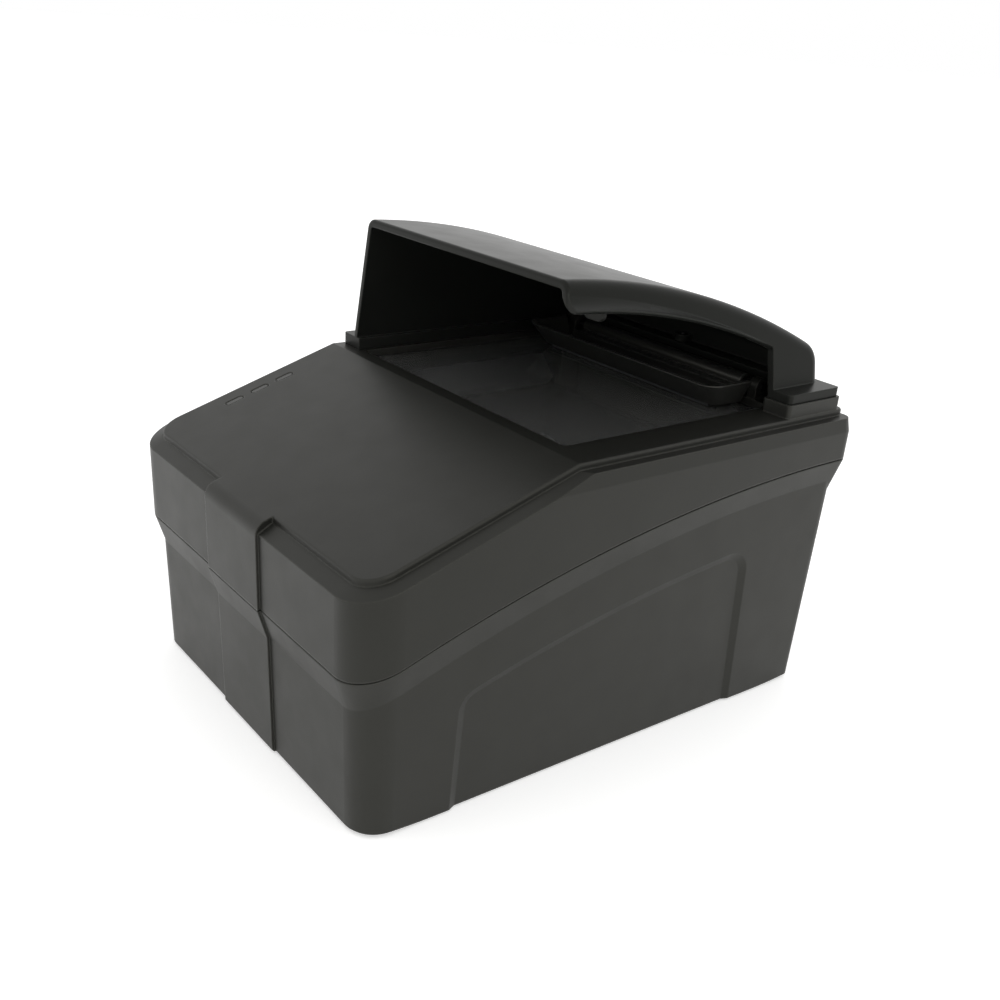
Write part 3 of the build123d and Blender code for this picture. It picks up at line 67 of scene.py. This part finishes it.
# Glass and clear plastic
clear_cloud_scale = 25.0
clear_cloud_detail = 2.0
clear_darkest = 0.97
smear_scale = 70.0
smear_detail = 3.0
smear_spread = 0.4
clear_refraction = 1.5

# Circuit board
brick_scale = 210.0
brick_shade = 0.82
track_width = 0.035
track_relief = 0.2
track_depth = 0.00004
mask_scale = 120.0
mask_detail = 3.0
mask_smoothest = 0.3
mask_roughest = 0.45

# Studio, where the floor's glow and the backdrop's strength count only where floor and backdrop are seen
floor_size = 30.0
floor_grey = (0.9, 0.9, 0.9)
floor_darkest = 0.995
floor_cloud_scale = 3.0
floor_cloud_detail = 2.0
floor_roughness = 0.9
floor_glow = 0.42
fill_strength = 0.9
backdrop_strength = 1.0
white = (1, 1, 1, 1)
lamp_tint = (1.0, 0.985, 0.92)
lamps = {
    "back_left": {"place": (-1.0, 1.0, 0.65), "aim": (0, 0, 0.12), "side": 1.0, "power": 0.6},
    "front_left": {"place": (-0.3, -1.3, 0.9), "aim": (0, 0, 0.08), "side": 0.8, "power": 1.2},
    "right_side": {"place": (1.2, -0.2, 0.7), "aim": (0, 0, 0.08), "side": 0.8, "power": 2.6},
}

# Camera fitted to the photograph: turned from the front, raised above level, and rolled.
# The sensor is in millimetres, and the focal length is a share of it.
camera_azimuth = 51.3127
camera_elevation = 26.0333
camera_roll = 4.2116
camera_target = (0.0041449, 0.0052156, 0.0370181)
camera_distance = 0.4589489
camera_sensor = 36.0
camera_focal_share = 1.131097
camera_shift = (-0.00033, 0.077691)
camera_nearest = 0.01


def shade(colour, factor):
    return tuple(channel * factor for channel in colour)


# A socket is linked, and a number or colour is set on the input itself
def plug(links, value, target):
    if isinstance(value, bpy.types.NodeSocket):
        links.new(value, target)
    else:
        target.default_value = value


# Node tree of one material: fix sets a value on the shader's own socket, and feed links a source to it
class Tree:
    def __init__(self, name):
        self.material = bpy.data.materials.new(name)
        self.material.use_nodes = True
        self.nodes = self.material.node_tree.nodes
        self.links = self.material.node_tree.links
        self.shader = self.nodes["Principled BSDF"]
        self.coords = self.nodes.new("ShaderNodeTexCoord").outputs["Object"]

    def fix(self, socket, value):
        self.shader.inputs[socket].default_value = value

    def feed(self, socket, source):
        self.links.new(source, self.shader.inputs[socket])

    def stretched(self, stretch):
        mapping = self.nodes.new("ShaderNodeMapping")
        mapping.inputs["Scale"].default_value = stretch
        self.links.new(self.coords, mapping.inputs["Vector"])
        return mapping.outputs["Vector"]

    def noise(self, scale, detail, coords=None):
        texture = self.nodes.new("ShaderNodeTexNoise")
        texture.inputs["Scale"].default_value = scale
        texture.inputs["Detail"].default_value = detail
        self.links.new(coords or self.coords, texture.inputs["Vector"])
        return texture.outputs["Fac"]

    def ramp(self, source, low, high, start=0.0, end=1.0):
        span = self.nodes.new("ShaderNodeMapRange")
        span.inputs["From Min"].default_value = start
        span.inputs["From Max"].default_value = end
        span.inputs["To Min"].default_value = low
        span.inputs["To Max"].default_value = high
        self.links.new(source, span.inputs["Value"])
        return span.outputs["Result"]

    # Values between one minus the spread and one plus it, times the middle
    def around(self, source, middle, spread):
        return self.ramp(source, middle * (1 - spread), middle * (1 + spread))

    def blend(self, factor, first, second):
        mix = self.nodes.new("ShaderNodeMix")
        mix.data_type = "RGBA"
        plug(self.links, first, mix.inputs["A"])
        plug(self.links, second, mix.inputs["B"])
        self.links.new(factor, mix.inputs["Factor"])
        return mix.outputs["Result"]

    # One colour, from its darkest share where the factor is 0 to its palest where it is 1
    def mottled(self, factor, colour, darkest, palest):
        return self.blend(factor, (*shade(colour, darkest), 1), (*shade(colour, palest), 1))

    def times(self, first, second):
        product = self.nodes.new("ShaderNodeMath")
        product.operation = "MULTIPLY"
        plug(self.links, first, product.inputs[0])
        plug(self.links, second, product.inputs[1])
        return product.outputs["Value"]

    def rounded(self, radius):
        bevel = self.nodes.new("ShaderNodeBevel")
        bevel.inputs["Radius"].default_value = radius
        return bevel.outputs["Normal"]

    # 0 on faces and up to 1 along edges, from how far the rounded normal leans off the face
    def edges(self, rounded):
        lean = self.nodes.new("ShaderNodeVectorMath")
        lean.operation = "DOT_PRODUCT"
        self.links.new(self.nodes.new("ShaderNodeNewGeometry").outputs["Normal"], lean.inputs[0])
        self.links.new(rounded, lean.inputs[1])
        return self.ramp(lean.outputs["Value"], 0.0, 1.0, edge_start, edge_end)

    def bump(self, source, relief, depth, normal=None):
        node = self.nodes.new("ShaderNodeBump")
        if normal is not None:
            self.links.new(normal, node.inputs["Normal"])
        node.inputs["Strength"].default_value = relief
        node.inputs["Distance"].default_value = depth
        self.links.new(source, node.inputs["Height"])
        self.feed("Normal", node.outputs["Normal"])


# Fine spark-eroded grain, faint cloudiness, and edges rubbed smoother and painted paler, partly as wear and
# partly as painted highlight
def moulded(name, colour, rough, gloss=plastic_gloss, grain=grain_scale, relief=grain_relief):
    tree = Tree(name)
    rounded = tree.rounded(edge_radius)
    edges = tree.edges(rounded)
    clouds = tree.mottled(tree.noise(cloud_scale, cloud_detail), colour, 1 - cloud_spread, 1 + cloud_spread)
    patches = tree.around(tree.noise(patch_scale, patch_detail), rough, patch_spread)
    # Edges get a paler colour, partly as wear and partly as a painted highlight along them
    tree.feed("Base Color", tree.blend(edges, clouds, (*shade(colour, edge_wear_and_highlight_paleness), 1)))
    tree.feed("Roughness", tree.times(patches, tree.ramp(edges, 1.0, 1.0 - edge_polish)))
    tree.fix("Specular IOR Level", gloss)
    tree.fix("Specular Tint", (*plastic_gloss_tint, 1))
    tree.bump(tree.noise(grain, grain_detail), relief, grain_depth, rounded)
    return tree.material


def rubber(name, colour):
    tree = Tree(name)
    clouds = tree.noise(rubber_cloud_scale, rubber_cloud_detail)
    tree.feed("Base Color", tree.mottled(clouds, colour, rubber_darkest, rubber_palest))
    tree.fix("Roughness", rubber_roughness)
    pores = tree.noise(rubber_pore_scale, rubber_pore_detail)
    tree.bump(pores, rubber_pore_relief, rubber_pore_depth)
    return tree.material


# Streaks in colour, gloss and height, drawn out along one axis where the metal is brushed
def metal(name, colour, rough, stretch=brush_stretch):
    tree = Tree(name)
    streaks = tree.noise(streak_scale, streak_detail, tree.stretched(stretch))
    tree.feed("Base Color", tree.mottled(streaks, colour, streak_darkest, streak_palest))
    tree.feed("Roughness", tree.around(streaks, rough, streak_roughness_spread))
    tree.fix("Metallic", 1.0)
    tree.bump(streaks, streak_relief, streak_depth)
    return tree.material


# Glass or clear plastic with faint smears
def clear(name, colour, rough, transmission):
    tree = Tree(name)
    clouds = tree.noise(clear_cloud_scale, clear_cloud_detail)
    tree.feed("Base Color", tree.mottled(clouds, colour, clear_darkest, 1.0))
    tree.feed("Roughness", tree.around(tree.noise(smear_scale, smear_detail), rough, smear_spread))
    tree.fix("IOR", clear_refraction)
    tree.fix("Transmission Weight", transmission)
    return tree.material


# Solder mask in bricks of two shades, with fine tracks between them
def board(name, mask, track):
    tree = Tree(name)
    bricks = tree.nodes.new("ShaderNodeTexBrick")
    bricks.inputs["Scale"].default_value = brick_scale
    bricks.inputs["Mortar Size"].default_value = track_width
    bricks.inputs["Color1"].default_value = (*mask, 1)
    bricks.inputs["Color2"].default_value = (*shade(mask, brick_shade), 1)
    bricks.inputs["Mortar"].default_value = (*track, 1)
    tree.links.new(tree.coords, bricks.inputs["Vector"])
    tree.feed("Base Color", bricks.outputs["Color"])
    tree.feed("Roughness", tree.ramp(tree.noise(mask_scale, mask_detail), mask_smoothest, mask_roughest))
    tree.bump(bricks.outputs["Fac"], track_relief, track_depth)
    return tree.material


case_plastic = moulded("case_plastic", (0.0112, 0.0114, 0.0101), rough=0.42, gloss=0.32)
housing_plastic = moulded("housing_plastic", (0.0126, 0.0128, 0.0113), rough=0.46, gloss=0.35)
hood_plastic = moulded(
    "hood_plastic", (0.0095, 0.0102, 0.0092), rough=0.32, gloss=0.12, grain=1800.0, relief=0.07
)
# The flap's plastic is paler than the case's as painted light, standing in for light bounced up onto the
# flap
flap_plastic = moulded("flap_plastic", (0.018, 0.0185, 0.017), rough=0.34, gloss=0.7)
inner_plastic = moulded("inner_plastic", (0.012, 0.012, 0.012), rough=0.6)
chip_plastic = moulded("chip_plastic", (0.015, 0.015, 0.017), rough=0.5)
header_plastic = moulded("header_plastic", (0.62, 0.56, 0.42), rough=0.5)
cable_skin = moulded("cable_skin", (0.5, 0.52, 0.54), rough=0.45)
window_lens = moulded("window_lens", (0.03, 0.03, 0.029), rough=0.3, relief=0.04)
foot_rubber = rubber("foot_rubber", (0.012, 0.012, 0.012))
gasket_rubber = rubber("gasket_rubber", (0.008, 0.008, 0.008))
foam = rubber("foam", (0.02, 0.02, 0.021))
steel = metal("steel", (0.5, 0.51, 0.53), rough=0.32)
brass = metal("brass", (0.62, 0.43, 0.16), rough=0.3)
aluminium = metal("aluminium", (0.66, 0.67, 0.69), rough=0.36)
dark_aluminium = metal("dark_aluminium", (0.04, 0.04, 0.042), rough=0.42)
black_metal = metal("black_metal", (0.03, 0.03, 0.031), rough=0.5)
silver = metal("silver", (0.86, 0.88, 0.9), rough=0.04, stretch=polish_stretch)
platen_glass = clear("platen_glass", (0.63, 0.635, 0.625), rough=0.03, transmission=0.92)
lens_glass = clear("lens_glass", (0.25, 0.3, 0.45), rough=0.03, transmission=0.8)
frosted = clear("frosted", (0.8, 0.82, 0.84), rough=0.5, transmission=0.5)
led_body = clear("led_body", (0.85, 0.75, 0.35), rough=0.3, transmission=0.4)
black_board = board("black_board", mask=(0.006, 0.0065, 0.006), track=(0.015, 0.0155, 0.014))
green_board = board("green_board", mask=(0.012, 0.09, 0.035), track=(0.03, 0.2, 0.08))
white_board = board("white_board", mask=(0.72, 0.72, 0.68), track=(0.5, 0.5, 0.46))

finishes = {
    "top_cover": case_plastic,
    "lower_housing": housing_plastic,
    "hood": hood_plastic,
    "base_plate": housing_plastic,
    "rubber_feet": foot_rubber,
    "scan_glass": platen_glass,
    "glass_gasket": gasket_rubber,
    "antenna_board": black_board,
    "glass_retainer": inner_plastic,
    "hold_down_flap": flap_plastic,
    "flap_hinge_pin": black_metal,
    "flap_pad": foam,
    "status_windows": window_lens,
    "indicator_board": green_board,
    "indicator_leds": led_body,
    "indicator_screws": steel,
    "optical_frame": inner_plastic,
    "fold_mirror": silver,
    "mirror_clips": steel,
    "light_boards": white_board,
    "light_diffusers": frosted,
    "illumination_leds": led_body,
    "camera_bracket": aluminium,
    "camera_board": green_board,
    "image_sensor": chip_plastic,
    "lens_holder": inner_plastic,
    "camera_lens": black_metal,
    "lens_element": lens_glass,
    "main_board": green_board,
    "board_standoffs": brass,
    "board_chips": chip_plastic,
    "heat_sink": dark_aluminium,
    "usb_socket": steel,
    "buzzer": chip_plastic,
    "capacitors": aluminium,
    "board_headers": header_plastic,
    "camera_cable": cable_skin,
    "case_screws": steel,
    "base_screws": steel,
    "hood_screws": black_metal,
    "retainer_screws": steel,
    "chassis_screws": steel,
    "board_screws": steel,
}
for name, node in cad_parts.items():
    node.data.materials.clear()
    node.data.materials.append(finishes[name])


# 1 for a ray from the camera, or one that reaches the backdrop through gloss or glass, and 0 otherwise
def backdrop_share(nodes, links):
    path = nodes.new("ShaderNodeLightPath")
    share = path.outputs["Is Camera Ray"]
    for kind in ("Is Glossy Ray", "Is Transmission Ray"):
        total = nodes.new("ShaderNodeMath")
        total.operation = "ADD"
        total.use_clamp = True
        links.new(share, total.inputs[0])
        links.new(path.outputs[kind], total.inputs[1])
        share = total.outputs["Value"]
    return share


# Pale paper that keeps the shadow, and glows to white only where it is seen
def floor_paper():
    tree = Tree("floor_paper")
    clouds = tree.noise(floor_cloud_scale, floor_cloud_detail)
    tree.feed("Base Color", tree.mottled(clouds, floor_grey, floor_darkest, 1.0))
    tree.fix("Roughness", floor_roughness)
    tree.fix("Emission Color", white)
    tree.feed("Emission Strength", tree.times(backdrop_share(tree.nodes, tree.links), floor_glow))
    return tree.material


def lay_floor():
    bpy.ops.mesh.primitive_plane_add(size=floor_size, location=(0, 0, 0))
    floor = bpy.context.active_object
    floor.name = "floor"
    floor.data.materials.append(floor_paper())


# The world fills the shadows at one strength and is seen as white at another
def surround():
    world = bpy.data.worlds.new("studio")
    bpy.context.scene.world = world
    world.use_nodes = True
    nodes = world.node_tree.nodes
    links = world.node_tree.links
    fill = nodes["Background"]
    fill.inputs["Color"].default_value = white
    fill.inputs["Strength"].default_value = fill_strength
    backdrop = nodes.new("ShaderNodeBackground")
    backdrop.inputs["Color"].default_value = white
    backdrop.inputs["Strength"].default_value = backdrop_strength
    choice = nodes.new("ShaderNodeMixShader")
    links.new(backdrop_share(nodes, links), choice.inputs["Fac"])
    links.new(fill.outputs["Background"], choice.inputs[1])
    links.new(backdrop.outputs["Background"], choice.inputs[2])
    links.new(choice.outputs["Shader"], nodes["World Output"].inputs["Surface"])


def softbox(name, place, aim, side, power):
    light = bpy.data.lights.new(name, "AREA")
    light.shape = "SQUARE"
    light.size = side
    light.energy = power
    light.color = lamp_tint
    lamp = bpy.data.objects.new(name, light)
    bpy.context.scene.collection.objects.link(lamp)
    lamp.location = place
    lamp.rotation_euler = (Vector(aim) - Vector(place)).to_track_quat("-Z", "Y").to_euler()


def set_camera():
    azimuth = math.radians(camera_azimuth)
    elevation = math.radians(camera_elevation)
    roll = math.radians(camera_roll)
    outward = Vector((math.sin(azimuth), -math.cos(azimuth), 0))
    level = Vector((math.cos(azimuth), math.sin(azimuth), 0))
    back = outward * math.cos(elevation) + Vector((0, 0, math.sin(elevation)))
    above = back.cross(level)
    right = level * math.cos(roll) + above * math.sin(roll)
    up = above * math.cos(roll) - level * math.sin(roll)
    lens = bpy.data.cameras.new("camera")
    lens.sensor_width = camera_sensor
    lens.lens = camera_sensor * camera_focal_share
    lens.shift_x, lens.shift_y = camera_shift
    lens.clip_start = camera_nearest
    camera = bpy.data.objects.new("camera", lens)
    bpy.context.scene.collection.objects.link(camera)
    eye = Vector(camera_target) + back * camera_distance
    turn = Matrix((right, up, back)).transposed()
    camera.matrix_world = Matrix.Translation(eye) @ turn.to_4x4()
    bpy.context.scene.camera = camera


lay_floor()
surround()
bpy.context.scene.view_settings.view_transform = "Standard"
for name, lamp in lamps.items():
    softbox(name, **lamp)
set_camera()
